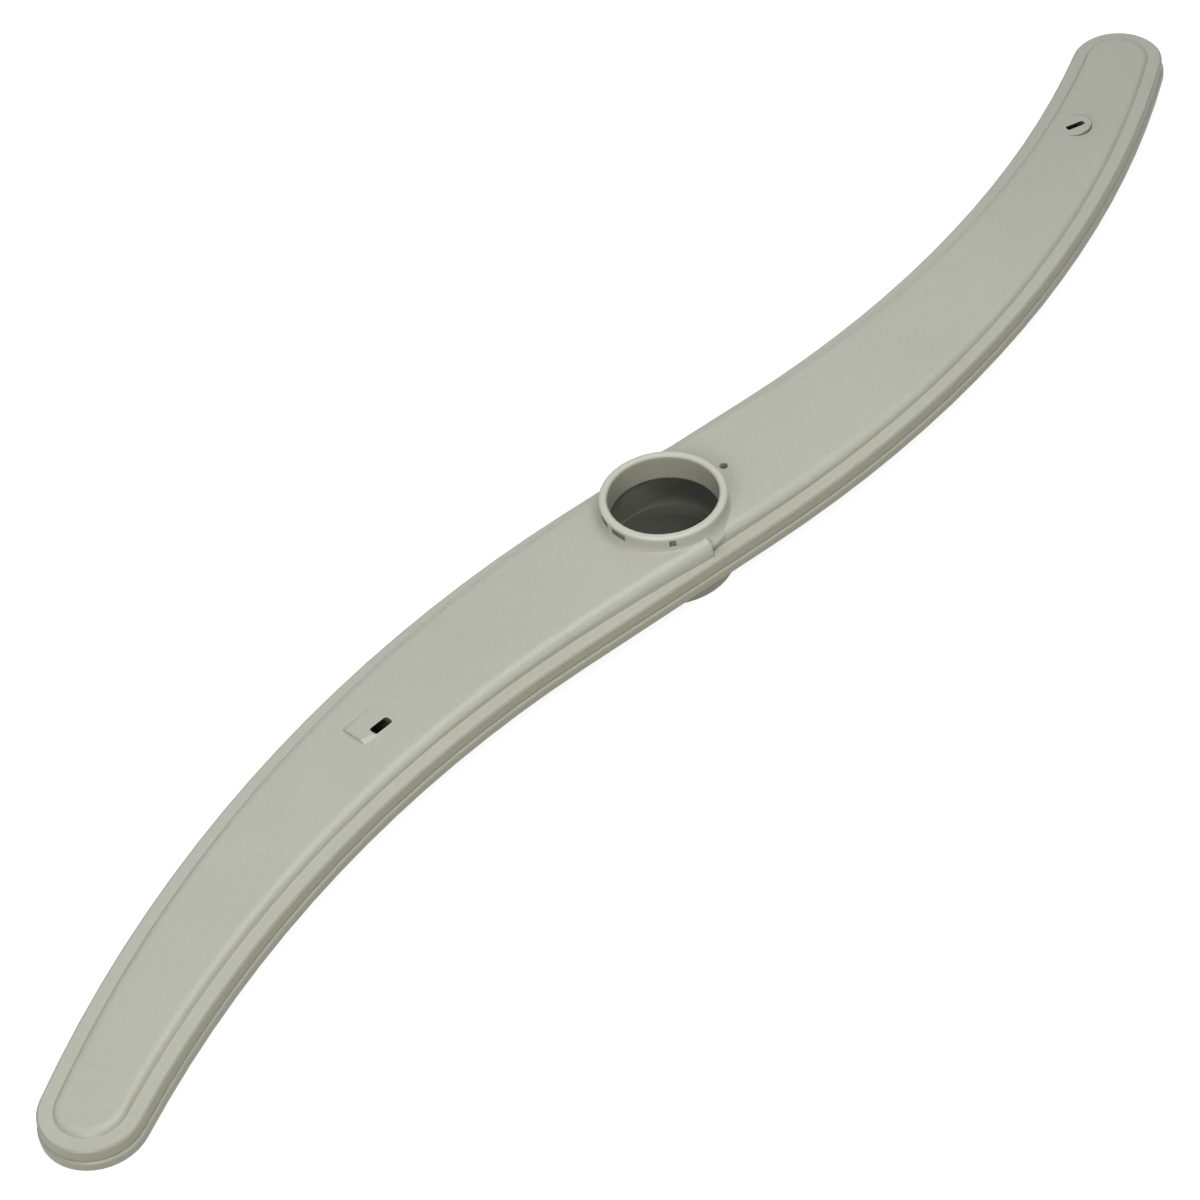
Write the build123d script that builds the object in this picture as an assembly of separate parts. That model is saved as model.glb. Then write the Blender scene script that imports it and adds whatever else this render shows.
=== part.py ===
from build123d import *
import os
from math import atan2, cos, degrees, hypot, radians, sin, sqrt, tan

# Dishwasher spray arm: two S-shaped moulded shells welded flange to flange, with an inlet collar at the hub.
# Frame: millimetres, +Z up, X along the arms from tip to tip. The hub axis is Z, and Z = 0 is the flat face
# of the hub boss that the arm lies on. The whole outline repeats after half a turn about Z.

# Plan outline: each arm is bounded by two long arcs, a round tip and a straight neck beside the hub
arm_reach = 229.5
tip_radius = 12.8
leading_radius = 350.0
trailing_radius = 315.0
neck_half_width = 20.9
neck_angle = 14.2

# Heights, from the boss face up
boss_radius = 16.6
boss_drop = 7.6
lower_flange = 3.0
upper_flange = 3.4
collar_rise = 8.9

# Mouldings
wall = 2.0
ledge = 4.0
draft_angle = 6.0
rim_chamfer = 0.5
seam_chamfer = 0.6
seam_step = 0.5

# Raised face on the hub side: a flat panel per arm, twisted down to the leading edge and sinking to the tip.
# Beside the hub the panel's trailing edge swings out, until only the narrower jog ledge is left.
face_rise_hub = 4.2
face_rise_tip = 1.1
face_twist = 2.0
face_round = 2.4
jog_ledge = 2.2

# Raised face on the nozzle side
floor_drop_hub = 4.4
floor_drop_tip = 1.4
floor_draft = 14.0
boss_chamfer = 0.6

# Inlet collar
bore_radius = 14.0
bore_length = 7.6
collar_wall = 2.1
flare_radius = 4.0
flare_turn = 50.0
foot_sink = 1.7
collar_chamfer = 0.5

# Weld joint: a tongue on the nozzle side shell sits in a groove of the hub side shell
tongue_inset = 2.0
tongue_width = 1.6
tongue_height = 1.2
weld_clearance = 0.15

# Drive jet on the negative X arm: a leaning slot in the low end of a raised ramp, which ends in a step.
# Places on an arm are a share of the reach, an offset from the arm's middle line and an angle to that line.
ramp_jet_place = (0.411, -1.57, -5.7)
ramp_jet_slot = (5.8, 2.6)
ramp_size = (9.6, 5.4)
ramp_flank = 1.4
ramp_side_shift = 2.4
ramp_height = 0.8

# Drive jet near the tip of the positive X arm: a leaning slot in a round pad, tilted so that one side stands out
pad_jet_place = (0.802, -2.9, -42.0)
pad_jet_slot = (5.0, 1.7)
pad_radius = 4.5
pad_lift = 0.3
pad_pitch = 11.0
pad_high_angle = 296.0
jet_lean = 35.0
jet_round_share = 0.35

# Drain hole beside the collar, and notches under the collar's lip: angle about the hub axis and notch length
drain_angle = -10.0
drain_gap = 4.6
drain_radius = 1.1
notches = ((147.0, 5.0), (171.0, 4.6), (-136.0, 1.6))
notch_depth = 1.0
notch_height = 1.9
notch_drop = 2.2

# Spray nozzles, one list of places per arm
nozzle_size = (10.6, 6.4)
nozzle_height = 1.3
nozzle_taper = 0.7
nozzle_slot = (4.8, 1.5)
nozzle_lean = 14.0
left_nozzles = ((0.28, 4.0, 70.0), (0.58, -3.0, 20.0), (0.885, 0.0, 15.0))
right_nozzles = ((0.35, -4.0, 80.0), (0.66, 3.0, 35.0), (0.905, 0.0, 30.0))

# Derived levels and sizes
flange_base = boss_drop
seam = flange_base + lower_flange
rim = seam + upper_flange
collar_top = rim + collar_rise
collar_base = collar_top - bore_length
collar_radius = bore_radius + collar_wall
drain_radius_out = collar_radius + drain_gap
face_slope = (face_rise_hub - face_rise_tip) / arm_reach
twist_slope = tan(radians(face_twist))
floor_slope = (floor_drop_hub - floor_drop_tip) / arm_reach
big = 4 * arm_reach


def unit(x, y):
    size = hypot(x, y)
    return Vector(x / size, y / size)


# Directions beside the hub: across the neck, and along it towards the positive X arm
across = Vector(sin(radians(neck_angle)), cos(radians(neck_angle)))
along = Vector(cos(radians(neck_angle)), -sin(radians(neck_angle)))
tip_centre = Vector(tip_radius - arm_reach, 0)


def arc_centre(offset, reach):
    """Centre at the given offset across the neck whose distance from the tip centre is reach."""
    base = across * offset
    gap = tip_centre - base
    run = gap.dot(along)
    rise = gap.dot(across)
    return base + along * (run + sqrt(reach * reach - rise * rise))


leading_centre = arc_centre(neck_half_width - leading_radius, leading_radius - tip_radius)
trailing_centre = arc_centre(-neck_half_width - trailing_radius, trailing_radius + tip_radius)
arm_centre = (leading_centre + trailing_centre) * 0.5
arm_radius = 0.5 * (leading_radius + trailing_radius)


def arm_edges(inset):
    """Leading arc, tip and trailing arc of the negative X arm, moved inwards by inset; all stay concentric."""
    lead = leading_radius - inset
    trail = trailing_radius + inset
    tip = tip_radius - inset
    to_lead = unit(tip_centre.X - leading_centre.X, tip_centre.Y - leading_centre.Y)
    to_trail = unit(trailing_centre.X - tip_centre.X, trailing_centre.Y - tip_centre.Y)
    lead_mid = (across + to_lead).normalized()
    trail_mid = (across - to_trail).normalized()
    end = (to_lead - to_trail).normalized()
    outwards = Vector(-end.Y, end.X)
    neck_back = leading_centre + across * lead
    tip_back = tip_centre + to_lead * tip
    tip_front = tip_centre + to_trail * tip
    neck_front = trailing_centre + across * trail
    return [
        ThreePointArc(neck_back, leading_centre + lead_mid * lead, tip_back),
        ThreePointArc(tip_back, tip_centre + outwards * tip, tip_front),
        ThreePointArc(tip_front, trailing_centre + trail_mid * trail, neck_front),
    ]


def outline(inset):
    """Face bounded by the whole outline moved inwards by inset: both arms and the straight necks between."""
    arm = arm_edges(inset)
    half = arm + [Line(arm[-1] @ 1, (arm[0] @ 0) * -1)]
    return make_face(Wire(half + [Rot(0, 0, 180) * edge for edge in half]))


def panel_outline():
    """Face bounded by the negative X arm's raised panel, which ends on the plane across the neck."""
    arm = arm_edges(ledge)
    jog = across * (jog_ledge - neck_half_width)
    back = across * (neck_half_width - ledge)
    swing = TangentArc(arm[-1] @ 1, jog, tangent=along)
    return make_face(Wire(arm + [swing, Line(jog, back), Line(back, arm[0] @ 0)]))


def slab(inset, low, high):
    """The outline at an inset, between two heights."""
    return extrude(Pos(0, 0, low) * outline(inset), high - low, dir=(0, 0, 1))


def side_faces(body):
    """Upright faces of a body, apart from one that lies on the plane across the neck."""
    upright = [face for face in body.faces() if abs(face.normal_at().Z) < 0.5]
    return [face for face in upright if abs(face.center().dot(along)) > 1e-3]


def arm_side():
    """The negative X arm's side of the plane across the neck."""
    return Rot(0, 0, -neck_angle) * Box(big, big, big, align=(Align.MAX, Align.CENTER, Align.CENTER))


def both_arms(arm):
    return arm + Rot(0, 0, 180) * arm


def arm_place(side, share, offset):
    """Place and heading on an arm: side is 1 for the negative X arm and -1 for the other."""
    run = share * arm_reach + arm_centre.X
    bearing = atan2(sqrt(arm_radius ** 2 - run ** 2), -run)
    x = side * (arm_centre.X + (arm_radius + offset) * cos(bearing))
    y = side * (arm_centre.Y + (arm_radius + offset) * sin(bearing))
    return x, y, degrees(bearing) - 90


def face_height(x, y):
    """Height of the raised face at a place on either arm."""
    side = -1 if x > 0 else 1
    return rim + face_rise_hub - abs(x) * face_slope - side * y * twist_slope


def under_face(height):
    """Everything below the negative X arm's panel, whose plane crosses the hub axis at a height."""
    block = Box(big, big, 2 * collar_top, align=(Align.CENTER, Align.CENTER, Align.MAX))
    return Plane((0, 0, height), z_dir=(-face_slope, twist_slope, 1)) * block


def raised_face():
    """Raised panel of the hub side, one arm at a time, so that the two meet in a step beside the collar."""
    arm = extrude(Pos(0, 0, seam) * panel_outline(), collar_top - seam, dir=(0, 0, 1))
    arm = draft(side_faces(arm), Plane((0, 0, rim)), draft_angle) & under_face(rim + face_rise_hub)
    top = [face for face in arm.faces() if face.normal_at().Z > 0.9][0]
    edges = [edge for edge in top.edges() if abs(edge.center().dot(along)) > 1e-3]
    return both_arms(fillet(edges, face_round))


def upper_cavity():
    """Water space under the raised face, one arm at a time."""
    space = slab(ledge + wall, seam, collar_top) & under_face(rim + face_rise_hub - wall)
    return both_arms(space & arm_side())


def collar():
    """Inlet collar turned about the hub axis; its foot flares out and meets the raised face at an angle."""
    foot = rim + face_rise_hub - foot_sink
    turn = radians(flare_turn)
    flare_out = collar_radius + flare_radius * (1 - cos(turn))
    flare_top = foot + flare_radius * sin(turn)
    edges = [
        Line((0, collar_base), (flare_out, collar_base)),
        Line((flare_out, collar_base), (flare_out, foot)),
        RadiusArc((flare_out, foot), (collar_radius, flare_top), flare_radius),
        Line((collar_radius, flare_top), (collar_radius, collar_top)),
        Line((collar_radius, collar_top), (0, collar_top)),
        Line((0, collar_top), (0, collar_base)),
    ]
    return revolve(Plane.XZ * make_face(Wire(edges)), Axis.Z)


def weld_ring(high, slack):
    """Ring above the seam that follows the outline: the tongue with no slack, or the groove that takes it."""
    outer = slab(tongue_inset - slack, seam, high)
    return outer - slab(tongue_inset + tongue_width + slack, seam, high)


def on_face(side, share, offset, angle):
    """Location on an arm's raised face: its Z is square to the face and its X turned by an angle."""
    x, y, heading = arm_place(side, share, offset)
    square = (-side * face_slope, side * twist_slope, 1)
    flat = Plane((x, y, face_height(x, y)), x_dir=(1, 0, side * face_slope), z_dir=square)
    return flat.location * Rot(0, 0, heading + angle)


def jet_slot(length, width):
    """Cutter for a jet's slot, which leans across its width and keeps its size at the surface."""
    square = width * cos(radians(jet_lean))
    opening = RectangleRounded(length, square, jet_round_share * square)
    return Rot(jet_lean, 0, 0) * extrude(opening, 2 * wall, both=True)


def ramp_jet():
    """Raised ramp with sloping flanks on the negative X arm, and the cutter for its slot."""
    place = on_face(1, *ramp_jet_place)
    length, width = ramp_size
    root = -wall / 2
    near = ramp_jet_slot[0] / 2
    far = near - length
    edge = width / 2
    foot = edge + ramp_flank
    slope = Polyline((near, 0), (far, ramp_height), (far, root), (near, root), close=True)
    crown = Polyline(
        (-foot, 0), (-edge, ramp_height), (edge, ramp_height), (foot, 0), (foot, root), (-foot, root), close=True
    )
    ramp = extrude(Plane.XZ * make_face(slope), 2 * foot, both=True)
    ramp = ramp & extrude(Plane.YZ * make_face(crown), length, both=True)
    return place * Pos(0, ramp_side_shift, 0) * ramp, place * jet_slot(*ramp_jet_slot)


def pad_jet():
    """Raised round pad on the positive X arm, and the cutter for its slot."""
    share, offset, angle = pad_jet_place
    pad = Cylinder(pad_radius, wall, align=(Align.CENTER, Align.CENTER, Align.MAX))
    pad = Pos(0, 0, pad_lift) * Rot(0, -pad_pitch, 0) * pad
    heading = arm_place(-1, share, offset)[2]
    pad = on_face(-1, share, offset, pad_high_angle - heading) * pad
    return pad, on_face(-1, share, offset, angle) * jet_slot(*pad_jet_slot)


def notch(angle, length):
    """Cutter for a shallow notch in the collar's wall, under its lip."""
    tool = Pos(collar_radius, 0, collar_top - notch_drop) * Box(2 * notch_depth, length, notch_height)
    return Rot(0, 0, angle) * tool


def hub_side_shell():
    """Visible half: flange, raised face, inlet collar, two drive jets and the drain hole."""
    flange = slab(seam_step, seam, rim)
    flange = chamfer(flange.edges().group_by(Axis.Z)[-1], rim_chamfer)
    shell = flange + raised_face() - upper_cavity() + collar()
    shell -= weld_ring(seam + tongue_height + weld_clearance, weld_clearance)
    shell -= Pos(0, 0, seam) * Cylinder(bore_radius, big, align=(Align.CENTER, Align.CENTER, Align.MIN))
    for raised, slot in (ramp_jet(), pad_jet()):
        shell += raised
        shell -= slot
    drain = Cylinder(drain_radius, 4 * face_rise_hub)
    shell -= Rot(0, 0, drain_angle) * Pos(drain_radius_out, 0, rim) * drain
    for angle, length in notches:
        shell -= notch(angle, length)
    lips = shell.edges().filter_by(GeomType.CIRCLE).group_by(Axis.Z)[-1]
    return chamfer(lips, collar_chamfer)


def floor_height(x):
    """Height of the nozzle side's floor, which rises evenly from the hub to each tip."""
    return flange_base - floor_drop_hub + floor_slope * abs(x)


def over_floor(lift):
    """Everything above the negative X arm's floor, raised by lift."""
    block = Box(big, big, 2 * collar_top, align=(Align.CENTER, Align.CENTER, Align.MIN))
    return Plane((0, 0, floor_height(0) + lift), z_dir=(floor_slope, 0, 1)) * block


def raised_floor():
    """Panel of the nozzle side with sloping walls, one arm at a time."""
    body = slab(ledge, 0, flange_base)
    arm = draft(side_faces(body), Plane((0, 0, flange_base)), -floor_draft) & over_floor(0)
    return both_arms(arm & arm_side())


def lower_cavity():
    """Water space above the nozzle side's floor."""
    space = slab(ledge + wall, 0, seam) & over_floor(wall)
    return both_arms(space & arm_side())


def boss():
    """Closed round boss below the collar, with a chamfer round the face that the arm lies on."""
    body = Cylinder(boss_radius, seam, align=(Align.CENTER, Align.CENTER, Align.MIN))
    return chamfer(body.edges().group_by(Axis.Z)[0], boss_chamfer)


def nozzle_pad():
    """Tapered pad round a spray slot; it stands out of the floor at its origin and roots in the wall."""
    length, width = nozzle_size
    face = Pos(0, 0, -nozzle_height) * Rectangle(length - 2 * nozzle_taper, width - 2 * nozzle_taper)
    return loft([face, Pos(0, 0, wall / 2) * Rectangle(length, width)], ruled=True)


def nozzle_side_shell():
    """Hidden half: flange with the weld tongue, drafted floor, closed hub boss and the spray nozzles."""
    flange = slab(0, flange_base, seam)
    flange = chamfer(flange.edges().group_by(Axis.Z)[0], rim_chamfer)
    flange = chamfer(flange.edges().group_by(Axis.Z)[-1], seam_chamfer)
    shell = flange + weld_ring(seam + tongue_height, 0) + raised_floor() + boss()
    slots = []
    for side, nozzles in ((1, left_nozzles), (-1, right_nozzles)):
        for share, offset, slot_angle in nozzles:
            x, y, heading = arm_place(side, share, offset)
            square = Plane((x, y, floor_height(x)), z_dir=(side * floor_slope, 0, 1)).location
            square = square * Rot(0, 0, heading + slot_angle)
            shell += square * nozzle_pad()
            slots.append(square * Rot(nozzle_lean, 0, 0) * Box(*nozzle_slot, 4 * wall))
    shell -= lower_cavity()
    shell -= Pos(0, 0, wall) * Cylinder(boss_radius - wall, seam, align=(Align.CENTER, Align.CENTER, Align.MIN))
    for slot in slots:
        shell -= slot
    return shell


os.makedirs("parts", exist_ok=True)
for name, solid in (("hub_side_shell", hub_side_shell()), ("nozzle_side_shell", nozzle_side_shell())):
    solid.label = name
    export_step(solid, f"parts/{name}.step")
    print(name, round(solid.volume), solid.bounding_box(), len(solid.solids()))
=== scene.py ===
import bpy
from math import cos, radians, sin
from mathutils import Matrix, Vector

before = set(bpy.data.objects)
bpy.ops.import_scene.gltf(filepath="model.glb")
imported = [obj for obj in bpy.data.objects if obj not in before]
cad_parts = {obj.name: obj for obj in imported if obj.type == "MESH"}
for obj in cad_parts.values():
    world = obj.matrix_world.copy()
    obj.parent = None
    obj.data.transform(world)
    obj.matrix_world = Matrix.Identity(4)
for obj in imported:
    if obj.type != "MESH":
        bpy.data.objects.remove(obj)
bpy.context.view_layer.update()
scene = bpy.context.scene

# Camera at the photograph's viewing angle, in degrees and metres, with lens and sensor in millimetres
VIEW_AZIMUTH = -48.2792
VIEW_ELEVATION = 44.2747
VIEW_ROLL = -7.6483
VIEW_DISTANCE = 0.945571
VIEW_TARGET = Vector((-0.0313725, -0.0026622, 0.0140))
LENS_MM = 116.082
SENSOR_MM = 36.0
CLIP_NEAR = 0.05
CLIP_FAR = 50.0

# Moulded plastic, as linear colours, and the values of the cloud noise at which each is reached
BODY_DEEP = (0.440, 0.447, 0.378, 1.0)
BODY_COLOUR = (0.452, 0.459, 0.392, 1.0)
BODY_PALE = (0.464, 0.471, 0.406, 1.0)
DEEP_AT = 0.30
COLOUR_AT = 0.50
PALE_AT = 0.72
PLASTIC_IOR = 1.49

# Noises in the plastic: clouds in its colour and gloss, specks in its colour, and a grain of fine bumps
CLOUD = {"Scale": 22.0, "Detail": 3.0, "Roughness": 0.55}
SPECK = {"Scale": 900.0, "Detail": 2.0, "Roughness": 0.6}
GRAIN = {"Scale": 2600.0, "Detail": 2.0, "Roughness": 0.5}
WHOLE_SPAN = (0.0, 1.0)
GLOSS_ROUGHNESS = (0.36, 0.50)
SPECK_SPAN = (0.30, 0.70)
SPECK_TONES = (0.97, 1.03)
GRAIN_STRENGTH = 0.12
GRAIN_DEPTH = 0.00006

# Soft rounding that light sees on the edges, in metres, and the samples that find it
EDGE_ROUND = 0.0006
EDGE_SAMPLES = 8

# Water space below the inlet collar, darkened with painted shade, deepest on its bottom and lightest on
# its walls: tones of its bottom, the floors beside it and its walls, heights from bottom to floors, and
# upright parts of the normal from walls to level faces
BOTTOM_SHADE_TONE = 0.19
INSIDE_FLOOR_SHADE_TONE = 0.35
INSIDE_WALL_SHADE_TONE = 0.60
BOTTOM_HEIGHTS = (0.0030, 0.0045)
WALL_NORMALS = (0.30, 0.90)

# Sizes of the water space, in degrees and metres about the neck's own axes
NECK_ANGLE = 14.2
CHANNEL_HALF_WIDTH = 0.0152
CHANNEL_HALF_LENGTH = 0.030
CHANNEL_FLOOR = 0.0046
CHAMBER_RADIUS = 0.0147
CHAMBER_FLOOR = 0.0010
INSIDE_TOP = 0.01525

# Collar's notches, darkened with painted shade: tone, and the radii and heights between which they lie
NOTCH_SHADE_TONE = 0.50
NOTCH_RADII = (0.0145, 0.0159)
NOTCH_HEIGHTS = (0.0194, 0.0220)

# Inlet's lip, lightened with a painted highlight: tone, and the heights between which it sets in
LIP_HIGHLIGHT_TONE = 1.20
LIP_HIGHLIGHT_HEIGHTS = (0.0214, 0.0224)

# Painted shade on low steep sides and creases: tint, and the heights and upright parts of the normal
# from full shade to none
SIDE_SHADE_TINT = (0.76, 0.76, 0.68)
SIDE_SHADE_HEIGHTS = (0.0140, 0.0158)
SIDE_SHADE_NORMALS = (0.75, 0.96)

# Painted shade in the inlet's bore, at any height: the radius that it lies within, and its share of full
# shade
BORE_SHADE_RADIUS = 0.0143
BORE_SHADE_SHARE = 0.74

# Drive jets, whose steep walls are darkened with painted shade: tone, upright parts of the normal from
# dark to plain, and each jet's place and reach
JET_SHADE_TONE = 0.35
JET_SHADE_NORMALS = (0.62, 0.75)
JETS = {
    "ramp": ((-0.0943, 0.0161, 0.0155), 0.0042),
    "pad": ((0.1836, -0.0059, 0.0146), 0.0056),
}

# Floor: linear colour, the glow that makes it white to the camera, its side, and drop below the part
FLOOR_COLOUR = (0.33, 0.33, 0.33, 1.0)
FLOOR_GLOW = 0.865
FLOOR_SIDE = 8.0
FLOOR_DROP = 0.0001

# Light: strengths of the surroundings as light and as seen, and each lamp's distances to the left, away
# from the camera and up, its size and its power
WHITE = (1.0, 1.0, 1.0, 1.0)
AMBIENT = 0.32
SEEN_WHITE = 1.0
LAMPS = {
    "top_softbox": ((-0.13, -0.12, 0.50), 0.34, 1.49),
    "front_softbox": ((0.30, -0.72, 0.50), 0.40, 3.17),
}


def node(tree, kind, **inputs):
    """A new node with its named inputs set."""
    made = tree.nodes.new(kind)
    for name, value in inputs.items():
        made.inputs[name.replace("_", " ")].default_value = value
    return made


def maths(tree, operation, first, second=0.0):
    """Result of one sum on sockets or plain numbers."""
    made = tree.nodes.new("ShaderNodeMath")
    made.operation = operation
    for socket, value in zip(made.inputs, (first, second)):
        if isinstance(value, float):
            socket.default_value = value
        else:
            tree.links.new(value, socket)
    return made.outputs["Value"]


def mapped(tree, value, span, target):
    """A value carried from one span of numbers to another, and held at that one's ends."""
    low, high = span
    start, end = target
    made = node(tree, "ShaderNodeMapRange", From_Min=low, From_Max=high, To_Min=start, To_Max=end)
    tree.links.new(value, made.inputs["Value"])
    return made.outputs["Result"]


def fade(tree, value, span):
    """1 up to the start of a span, then falling to 0 at its end."""
    return mapped(tree, value, span, (1.0, 0.0))


def between(tree, value, low, high):
    """1 where a value lies between two limits, and 0 elsewhere."""
    above = maths(tree, "GREATER_THAN", value, low)
    return maths(tree, "MULTIPLY", above, maths(tree, "LESS_THAN", value, high))


def times(tree, colour, tone):
    """A colour multiplied by a tone."""
    made = tree.nodes.new("ShaderNodeVectorMath")
    made.operation = "MULTIPLY"
    tree.links.new(colour, made.inputs[0])
    tree.links.new(tone, made.inputs[1])
    return made.outputs["Vector"]


def upright(tree, normal):
    """How far a normal points up or down: 1 on level faces and 0 on walls."""
    parts = tree.nodes.new("ShaderNodeSeparateXYZ")
    tree.links.new(normal, parts.inputs["Vector"])
    return maths(tree, "ABSOLUTE", parts.outputs["Z"])


def spot(tree, place):
    """Where a place is: along and across the neck, its height and its distance from the hub's axis."""
    turned = node(tree, "ShaderNodeMapping", Rotation=(0, 0, radians(NECK_ANGLE)))
    tree.links.new(place, turned.inputs["Vector"])
    parts = tree.nodes.new("ShaderNodeSeparateXYZ")
    tree.links.new(turned.outputs["Vector"], parts.inputs["Vector"])
    along, across, height = (parts.outputs[axis] for axis in "XYZ")
    along_square = maths(tree, "MULTIPLY", along, along)
    across_square = maths(tree, "MULTIPLY", across, across)
    radius = maths(tree, "SQRT", maths(tree, "ADD", along_square, across_square))
    return along, across, height, radius


def water_space(tree, along, across, height, radius):
    """1 in the water space below the inlet, and 0 elsewhere."""
    channel = between(tree, height, CHANNEL_FLOOR, INSIDE_TOP)
    for side, limit in ((along, CHANNEL_HALF_LENGTH), (across, CHANNEL_HALF_WIDTH)):
        channel = maths(tree, "MULTIPLY", channel, between(tree, side, -limit, limit))
    chamber = between(tree, height, CHAMBER_FLOOR, INSIDE_TOP)
    chamber = maths(tree, "MULTIPLY", chamber, maths(tree, "LESS_THAN", radius, CHAMBER_RADIUS))
    return maths(tree, "MAXIMUM", channel, chamber)


def hub_shade_and_highlight(tree, inside, slope, height, radius):
    """Tone at the hub: painted shade in the water space and the notches, a painted highlight on the lip
    and 1 elsewhere.
    """
    bottom = maths(tree, "MULTIPLY", fade(tree, height, BOTTOM_HEIGHTS), BOTTOM_SHADE_TONE - INSIDE_FLOOR_SHADE_TONE)
    level = maths(tree, "ADD", bottom, INSIDE_FLOOR_SHADE_TONE)
    to_wall = maths(tree, "SUBTRACT", INSIDE_WALL_SHADE_TONE, level)
    paler = maths(tree, "MULTIPLY", fade(tree, slope, WALL_NORMALS), to_wall)
    darker = maths(tree, "SUBTRACT", 1.0, maths(tree, "ADD", level, paler))
    inside_painted_shade = maths(tree, "MULTIPLY", inside, darker)
    notch = between(tree, radius, *NOTCH_RADII)
    notch = maths(tree, "MULTIPLY", notch, between(tree, height, *NOTCH_HEIGHTS))
    painted_shade = maths(tree, "ADD", inside_painted_shade, maths(tree, "MULTIPLY", notch, 1.0 - NOTCH_SHADE_TONE))
    return maths(tree, "SUBTRACT", mapped(tree, height, LIP_HIGHLIGHT_HEIGHTS, (1.0, LIP_HIGHLIGHT_TONE)), painted_shade)


def side_and_bore_shade(tree, height, radius, slope):
    """Tint of the painted shade on low steep sides and in the bore, and 1 elsewhere."""
    low = fade(tree, height, SIDE_SHADE_HEIGHTS)
    bore = maths(tree, "MULTIPLY", maths(tree, "LESS_THAN", radius, BORE_SHADE_RADIUS), BORE_SHADE_SHARE)
    steep = fade(tree, slope, SIDE_SHADE_NORMALS)
    share = maths(tree, "MULTIPLY", maths(tree, "MAXIMUM", low, bore), steep)
    made = tree.nodes.new("ShaderNodeVectorMath")
    made.operation = "MULTIPLY_ADD"
    tree.links.new(share, made.inputs[0])
    made.inputs[1].default_value = [part - 1.0 for part in SIDE_SHADE_TINT]
    made.inputs[2].default_value = (1.0, 1.0, 1.0)
    return made.outputs["Vector"]


def jet_shade_tone(tree, place, slope):
    """Painted shade on the drive jets' steep walls, and 1 elsewhere."""
    near = 0.0
    for centre, reach in JETS.values():
        gap = tree.nodes.new("ShaderNodeVectorMath")
        gap.operation = "DISTANCE"
        tree.links.new(place, gap.inputs[0])
        gap.inputs[1].default_value = centre
        within = maths(tree, "LESS_THAN", gap.outputs["Value"], reach)
        near = maths(tree, "MAXIMUM", near, within)
    painted_shade = maths(tree, "MULTIPLY", near, fade(tree, slope, JET_SHADE_NORMALS))
    return maths(tree, "SUBTRACT", 1.0, maths(tree, "MULTIPLY", painted_shade, 1.0 - JET_SHADE_TONE))


def cloud_colour(tree, cloud):
    """Body colour, deeper and paler with the clouds."""
    made = tree.nodes.new("ShaderNodeValToRGB")
    ramp = made.color_ramp
    ramp.elements[0].position = DEEP_AT
    ramp.elements[0].color = BODY_DEEP
    ramp.elements[1].position = PALE_AT
    ramp.elements[1].color = BODY_PALE
    ramp.elements.new(COLOUR_AT).color = BODY_COLOUR
    tree.links.new(cloud.outputs["Fac"], made.inputs["Fac"])
    return made.outputs["Color"]


def moulded_plastic(name, seed):
    """Grey-beige moulded plastic with faint clouds, fine specks, a satin grain and uneven gloss, and
    painted shade and highlight at the hub, sides and jets.
    """
    material = bpy.data.materials.new(name)
    material.use_nodes = True
    tree = material.node_tree
    shader = tree.nodes["Principled BSDF"]
    shader.inputs["IOR"].default_value = PLASTIC_IOR
    coordinates = tree.nodes.new("ShaderNodeTexCoord")
    place = coordinates.outputs["Object"]
    shift = node(tree, "ShaderNodeMapping", Location=(seed, 2 * seed, 0))
    tree.links.new(place, shift.inputs["Vector"])
    cloud = node(tree, "ShaderNodeTexNoise", **CLOUD)
    speck = node(tree, "ShaderNodeTexNoise", **SPECK)
    grain = node(tree, "ShaderNodeTexNoise", **GRAIN)
    for texture in (cloud, speck, grain):
        tree.links.new(shift.outputs["Vector"], texture.inputs["Vector"])

    along, across, height, radius = spot(tree, place)
    slope = upright(tree, coordinates.outputs["Normal"])
    inside = water_space(tree, along, across, height, radius)
    colour = cloud_colour(tree, cloud)
    colour = times(tree, colour, mapped(tree, speck.outputs["Fac"], SPECK_SPAN, SPECK_TONES))
    # Painted shade in the water space and the collar's notches, and a painted highlight on the lip
    colour = times(tree, colour, hub_shade_and_highlight(tree, inside, slope, height, radius))
    # Painted shade on low steep sides, creases and the bore's walls
    colour = times(tree, colour, side_and_bore_shade(tree, height, radius, slope))
    # Painted shade on the drive jets' steep walls
    colour = times(tree, colour, jet_shade_tone(tree, place, slope))
    tree.links.new(colour, shader.inputs["Base Color"])

    gloss = mapped(tree, cloud.outputs["Fac"], WHOLE_SPAN, GLOSS_ROUGHNESS)
    tree.links.new(gloss, shader.inputs["Roughness"])

    edges = tree.nodes.new("ShaderNodeBevel")
    edges.samples = EDGE_SAMPLES
    outside = maths(tree, "SUBTRACT", 1.0, inside)
    tree.links.new(maths(tree, "MULTIPLY", outside, EDGE_ROUND), edges.inputs["Radius"])
    bump = node(tree, "ShaderNodeBump", Strength=GRAIN_STRENGTH, Distance=GRAIN_DEPTH)
    tree.links.new(grain.outputs["Fac"], bump.inputs["Height"])
    tree.links.new(edges.outputs["Normal"], bump.inputs["Normal"])
    tree.links.new(bump.outputs["Normal"], shader.inputs["Normal"])
    return material


def seen_rays(tree):
    """1 for rays that show a surface as it looks: straight, reflected or through something clear."""
    path = tree.nodes.new("ShaderNodeLightPath")
    seen = path.outputs["Is Camera Ray"]
    for kind in ("Is Glossy Ray", "Is Transmission Ray"):
        seen = maths(tree, "MAXIMUM", seen, path.outputs[kind])
    return seen


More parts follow.
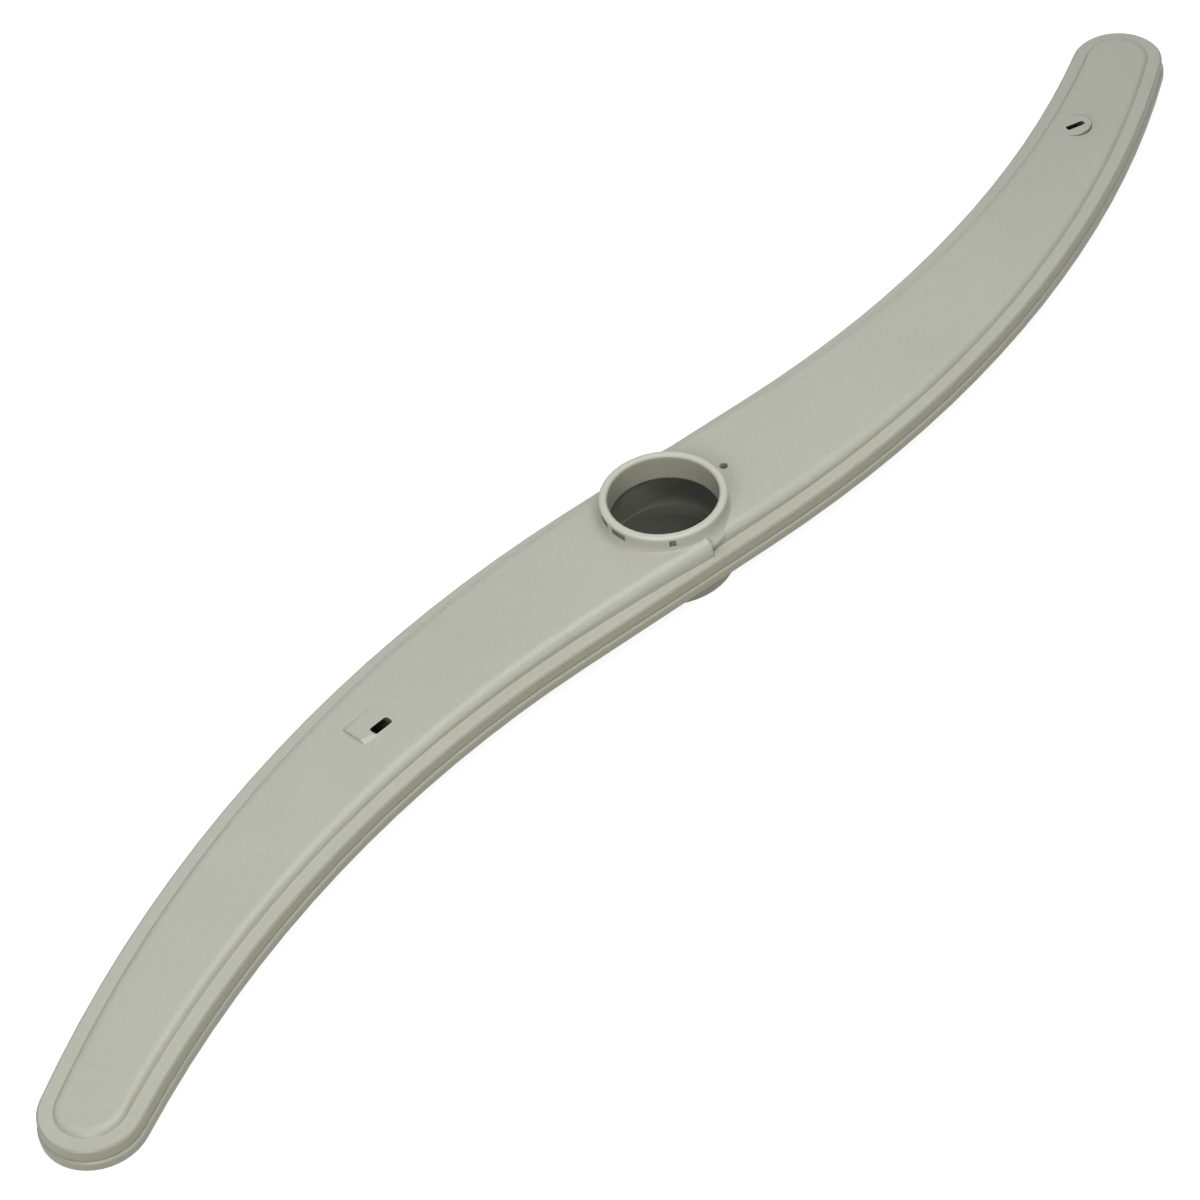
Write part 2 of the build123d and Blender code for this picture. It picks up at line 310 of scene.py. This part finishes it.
def white_floor():
    """Pale floor that the camera sees as white, apart from the object's own soft shadow."""
    bpy.ops.mesh.primitive_plane_add(size=FLOOR_SIDE, location=(0, 0, -FLOOR_DROP))
    floor = bpy.context.object
    floor.name = "floor"
    material = bpy.data.materials.new("floor_white")
    material.use_nodes = True
    tree = material.node_tree
    tree.nodes.clear()
    diffuse = node(tree, "ShaderNodeBsdfDiffuse", Color=FLOOR_COLOUR)
    glow = node(tree, "ShaderNodeEmission", Color=WHITE)
    strength = maths(tree, "MULTIPLY", seen_rays(tree), FLOOR_GLOW)
    tree.links.new(strength, glow.inputs["Strength"])
    both = tree.nodes.new("ShaderNodeAddShader")
    tree.links.new(diffuse.outputs["BSDF"], both.inputs[0])
    tree.links.new(glow.outputs["Emission"], both.inputs[1])
    output = tree.nodes.new("ShaderNodeOutputMaterial")
    tree.links.new(both.outputs["Shader"], output.inputs["Surface"])
    floor.data.materials.append(material)


def studio_world():
    """Even pale surroundings that are seen as white."""
    world = bpy.data.worlds.new("studio")
    scene.world = world
    world.use_nodes = True
    tree = world.node_tree
    tree.nodes.clear()
    ambient = node(tree, "ShaderNodeBackground", Color=WHITE, Strength=AMBIENT)
    white = node(tree, "ShaderNodeBackground", Color=WHITE, Strength=SEEN_WHITE)
    choose = tree.nodes.new("ShaderNodeMixShader")
    output = tree.nodes.new("ShaderNodeOutputWorld")
    tree.links.new(seen_rays(tree), choose.inputs["Fac"])
    tree.links.new(ambient.outputs["Background"], choose.inputs[1])
    tree.links.new(white.outputs["Background"], choose.inputs[2])
    tree.links.new(choose.outputs["Shader"], output.inputs["Surface"])


def softbox(name, place, size, power):
    """Square area lamp that looks at the hub and isn't seen by the camera."""
    lamp = bpy.data.lights.new(name, "AREA")
    lamp.size = size
    lamp.energy = power
    held = bpy.data.objects.new(name, lamp)
    scene.collection.objects.link(held)
    held.visible_camera = False
    held.location = place
    held.rotation_mode = "QUATERNION"
    held.rotation_quaternion = (-Vector(place)).to_track_quat("-Z", "Y")


def studio_place(left, away, height):
    """Place in the studio, told from where the photograph's camera stands."""
    a = radians(VIEW_AZIMUTH)
    sideways = Vector((-cos(a), -sin(a), 0)) * left
    onward = Vector((-sin(a), cos(a), 0)) * away
    return sideways + onward + Vector((0, 0, height))


def view_axes():
    """Right, up and back directions of the photograph's camera."""
    a = radians(VIEW_AZIMUTH)
    e = radians(VIEW_ELEVATION)
    r = radians(VIEW_ROLL)
    back = Vector((sin(a) * cos(e), -cos(a) * cos(e), sin(e)))
    right = Vector((cos(a), sin(a), 0))
    up = back.cross(right)
    return right * cos(r) + up * sin(r), up * cos(r) - right * sin(r), back


def photo_camera():
    """Camera that frames the arm as the photograph does."""
    lens = bpy.data.cameras.new("photo_camera")
    lens.sensor_width = SENSOR_MM
    lens.lens = LENS_MM
    lens.clip_start = CLIP_NEAR
    lens.clip_end = CLIP_FAR
    camera = bpy.data.objects.new("photo_camera", lens)
    scene.collection.objects.link(camera)
    right, up, back = view_axes()
    turn = Matrix((right, up, back)).transposed().to_4x4()
    camera.matrix_world = Matrix.Translation(VIEW_TARGET + back * VIEW_DISTANCE) @ turn
    scene.camera = camera


# Each shell's plastic, with a seed that shifts its noises
finishes = {
    "hub_side_shell": moulded_plastic("hub_side_plastic", seed=0.13),
    "nozzle_side_shell": moulded_plastic("nozzle_side_plastic", seed=0.71),
}
for name, material in finishes.items():
    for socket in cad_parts[name].material_slots:
        socket.material = material

white_floor()
studio_world()
for name, (place, size, power) in LAMPS.items():
    softbox(name, studio_place(*place), size, power)
photo_camera()

scene.view_settings.view_transform = "Standard"
